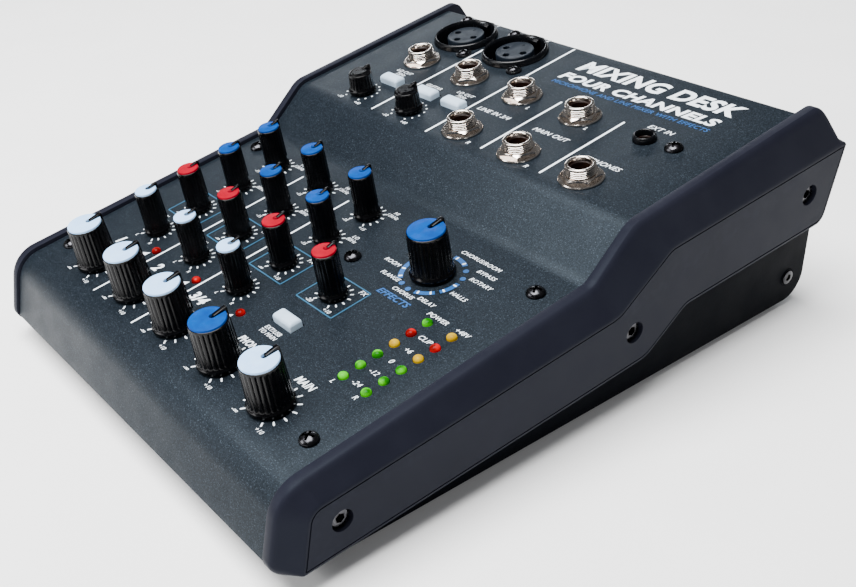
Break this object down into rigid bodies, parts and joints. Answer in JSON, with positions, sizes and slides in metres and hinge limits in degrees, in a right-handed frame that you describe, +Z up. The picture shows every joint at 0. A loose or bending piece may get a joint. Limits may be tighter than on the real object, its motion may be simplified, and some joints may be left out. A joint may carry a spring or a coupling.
{
  "type": "mixing console",
  "caption": "Compact desktop audio mixing console: sloped control deck with rotary knobs, push keys, level meter and a raised rear deck of plug-in audio sockets between moulded end cheeks.",
  "frame": {"origin": "on the floor plane under the centre of the whole object", "axes": "+Z up, +X to the operator's right, +Y from the operator towards the raised rear deck"},
  "size_m": [0.1666, 0.2066, 0.0675],
  "materials": {
    "panel_paint": "satin powder coat with a fine metallic speckle",
    "pan_paint": "fine-textured black powder coat",
    "cheek_plastic": "satin moulded plastic with a fine grain",
    "knob_plastic": "semi-gloss black moulding",
    "cap_pale": "smooth pale blue-grey cap",
    "cap_blue": "smooth blue cap",
    "cap_red": "smooth red cap",
    "button_white": "satin white key top",
    "jack_nickel": "nickel-plated threaded bush on a moulded housing",
    "nickel": "nickel plate with light wear",
    "socket_plastic": "black moulded plastic",
    "led_green": "lit green lens",
    "led_yellow": "lit yellow lens",
    "led_red": "lit red lens",
    "print_white": "screen-printed white ink",
    "print_blue": "screen-printed blue ink",
    "screw_black": "black-oxide steel",
    "usb_steel": "plain stamped steel",
    "board_laminate": "green solder-masked laminate",
    "foot_rubber": "moulded rubber"
  },
  "bodies": {
    "case": {"top_panel": "panel_paint", "bottom_pan": "pan_paint", "right_cheek": "cheek_plastic", "left_cheek": "cheek_plastic", "line_jack_1": "jack_nickel", "line_jack_1_nut": "nickel", "line_jack_2": "jack_nickel", "line_jack_2_nut": "nickel", "line_jack_3": "jack_nickel", "line_jack_3_nut": "nickel", "line_jack_4": "jack_nickel", "line_jack_4_nut": "nickel", "main_jack_left": "jack_nickel", "main_jack_left_nut": "nickel", "main_jack_right": "jack_nickel", "main_jack_right_nut": "nickel", "phones_jack": "jack_nickel", "phones_jack_nut": "nickel", "mic_socket_1": "socket_plastic", "mic_socket_2": "socket_plastic", "ext_in_jack": "socket_plastic", "meter_leds": "led_green", "peak_leds": "led_red", "control_board": "board_laminate", "jack_board": "board_laminate", "dc_inlet": "socket_plastic", "usb_port": "usb_steel", "foot_front_left": "foot_rubber", "foot_front_right": "foot_rubber", "foot_rear_left": "foot_rubber", "foot_rear_right": "foot_rubber"},
    "level_knob_1": {"level_knob_1": "knob_plastic"},
    "level_knob_2": {"level_knob_2": "knob_plastic"},
    "level_knob_34": {"level_knob_34": "knob_plastic"},
    "phones_knob": {"phones_knob": "knob_plastic"},
    "main_knob": {"main_knob": "knob_plastic"},
    "effects_knob": {"effects_knob": "knob_plastic"},
    "pan_knob_1": {"pan_knob_1": "knob_plastic"},
    "pan_knob_2": {"pan_knob_2": "knob_plastic"},
    "pan_knob_34": {"pan_knob_34": "knob_plastic"},
    "send_knob_1": {"send_knob_1": "knob_plastic"},
    "send_knob_2": {"send_knob_2": "knob_plastic"},
    "send_knob_34": {"send_knob_34": "knob_plastic"},
    "low_knob_1": {"low_knob_1": "knob_plastic"},
    "low_knob_2": {"low_knob_2": "knob_plastic"},
    "low_knob_34": {"low_knob_34": "knob_plastic"},
    "high_knob_1": {"high_knob_1": "knob_plastic"},
    "high_knob_2": {"high_knob_2": "knob_plastic"},
    "high_knob_34": {"high_knob_34": "knob_plastic"},
    "effects_level_knob": {"effects_level_knob": "knob_plastic"},
    "gain_knob_1": {"gain_knob_1": "knob_plastic"},
    "gain_knob_2": {"gain_knob_2": "knob_plastic"},
    "source_button": {"source_button": "button_white"},
    "low_cut_button_1": {"low_cut_button_1": "button_white"},
    "low_cut_button_2": {"low_cut_button_2": "button_white"},
    "guitar_button": {"guitar_button": "button_white"},
    "phantom_switch": {"phantom_switch": "button_white"},
    "power_switch": {"power_switch": "knob_plastic"}
  },
  "joints": [
    {"name": "level_knob_1_turn", "type": "hinge", "parent": "case", "child": "level_knob_1", "pos_m": [-0.05, -0.081, 0.032], "axis": [0, -0.1323, 0.9912], "range_deg": [-144, 144]},
    {"name": "level_knob_2_turn", "type": "hinge", "parent": "case", "child": "level_knob_2", "pos_m": [-0.025, -0.081, 0.032], "axis": [0, -0.1323, 0.9912], "range_deg": [-144, 144]},
    {"name": "level_knob_34_turn", "type": "hinge", "parent": "case", "child": "level_knob_34", "pos_m": [0, -0.081, 0.032], "axis": [0, -0.1323, 0.9912], "range_deg": [-144, 144]},
    {"name": "phones_knob_turn", "type": "hinge", "parent": "case", "child": "phones_knob", "pos_m": [0.025, -0.081, 0.032], "axis": [0, -0.1323, 0.9912], "range_deg": [-144, 144]},
    {"name": "main_knob_turn", "type": "hinge", "parent": "case", "child": "main_knob", "pos_m": [0.05, -0.081, 0.032], "axis": [0, -0.1323, 0.9912], "range_deg": [-144, 144]},
    {"name": "effects_knob_turn", "type": "hinge", "parent": "case", "child": "effects_knob", "pos_m": [0.0393, -0.01786, 0.04043], "axis": [0, -0.1323, 0.9912], "continuous": true},
    {"name": "pan_knob_1_turn", "type": "hinge", "parent": "case", "child": "pan_knob_1", "pos_m": [-0.05, -0.0584, 0.03501], "axis": [0, -0.1323, 0.9912], "range_deg": [-144, 144]},
    {"name": "pan_knob_2_turn", "type": "hinge", "parent": "case", "child": "pan_knob_2", "pos_m": [-0.025, -0.0584, 0.03501], "axis": [0, -0.1323, 0.9912], "range_deg": [-144, 144]},
    {"name": "pan_knob_34_turn", "type": "hinge", "parent": "case", "child": "pan_knob_34", "pos_m": [0, -0.0584, 0.03501], "axis": [0, -0.1323, 0.9912], "range_deg": [-144, 144]},
    {"name": "send_knob_1_turn", "type": "hinge", "parent": "case", "child": "send_knob_1", "pos_m": [-0.05, -0.04239, 0.03715], "axis": [0, -0.1323, 0.9912], "range_deg": [-144, 144]},
    {"name": "send_knob_2_turn", "type": "hinge", "parent": "case", "child": "send_knob_2", "pos_m": [-0.025, -0.04239, 0.03715], "axis": [0, -0.1323, 0.9912], "range_deg": [-144, 144]},
    {"name": "send_knob_34_turn", "type": "hinge", "parent": "case", "child": "send_knob_34", "pos_m": [0, -0.04239, 0.03715], "axis": [0, -0.1323, 0.9912], "range_deg": [-144, 144]},
    {"name": "low_knob_1_turn", "type": "hinge", "parent": "case", "child": "low_knob_1", "pos_m": [-0.05, -0.02638, 0.03929], "axis": [0, -0.1323, 0.9912], "range_deg": [-144, 144]},
    {"name": "low_knob_2_turn", "type": "hinge", "parent": "case", "child": "low_knob_2", "pos_m": [-0.025, -0.02638, 0.03929], "axis": [0, -0.1323, 0.9912], "range_deg": [-144, 144]},
    {"name": "low_knob_34_turn", "type": "hinge", "parent": "case", "child": "low_knob_34", "pos_m": [0, -0.02638, 0.03929], "axis": [0, -0.1323, 0.9912], "range_deg": [-144, 144]},
    {"name": "high_knob_1_turn", "type": "hinge", "parent": "case", "child": "high_knob_1", "pos_m": [-0.05, -0.01038, 0.04142], "axis": [0, -0.1323, 0.9912], "range_deg": [-144, 144]},
    {"name": "high_knob_2_turn", "type": "hinge", "parent": "case", "child": "high_knob_2", "pos_m": [-0.025, -0.01038, 0.04142], "axis": [0, -0.1323, 0.9912], "range_deg": [-144, 144]},
    {"name": "high_knob_34_turn", "type": "hinge", "parent": "case", "child": "high_knob_34", "pos_m": [0, -0.01038, 0.04142], "axis": [0, -0.1323, 0.9912], "range_deg": [-144, 144]},
    {"name": "effects_level_knob_turn", "type": "hinge", "parent": "case", "child": "effects_level_knob", "pos_m": [0.025, -0.04239, 0.03715], "axis": [0, -0.1323, 0.9912], "range_deg": [-144, 144]},
    {"name": "gain_knob_1_turn", "type": "hinge", "parent": "case", "child": "gain_knob_1", "pos_m": [-0.05, 0.02758, 0.05753], "axis": [0, -0.1323, 0.9912], "range_deg": [-144, 144]},
    {"name": "gain_knob_2_turn", "type": "hinge", "parent": "case", "child": "gain_knob_2", "pos_m": [-0.025, 0.02758, 0.05753], "axis": [0, -0.1323, 0.9912], "range_deg": [-144, 144]},
    {"name": "source_button_press", "type": "slide", "parent": "case", "child": "source_button", "axis": [0, 0.1323, -0.9912], "range_m": [0, 0.0015], "stiffness_N_per_m": 300},
    {"name": "low_cut_button_1_press", "type": "slide", "parent": "case", "child": "low_cut_button_1", "axis": [0, 0.1323, -0.9912], "range_m": [0, 0.0015], "stiffness_N_per_m": 300},
    {"name": "low_cut_button_2_press", "type": "slide", "parent": "case", "child": "low_cut_button_2", "axis": [0, 0.1323, -0.9912], "range_m": [0, 0.0015], "stiffness_N_per_m": 300},
    {"name": "guitar_button_press", "type": "slide", "parent": "case", "child": "guitar_button", "axis": [0, 0.1323, -0.9912], "range_m": [0, 0.0015], "stiffness_N_per_m": 300},
    {"name": "phantom_switch_press", "type": "slide", "parent": "case", "child": "phantom_switch", "axis": [0, -1, 0], "range_m": [0, 0.0025], "stiffness_N_per_m": 300},
    {"name": "power_switch_press", "type": "slide", "parent": "case", "child": "power_switch", "axis": [0, -1, 0], "range_m": [0, 0.0025], "stiffness_N_per_m": 300}
  ]
}
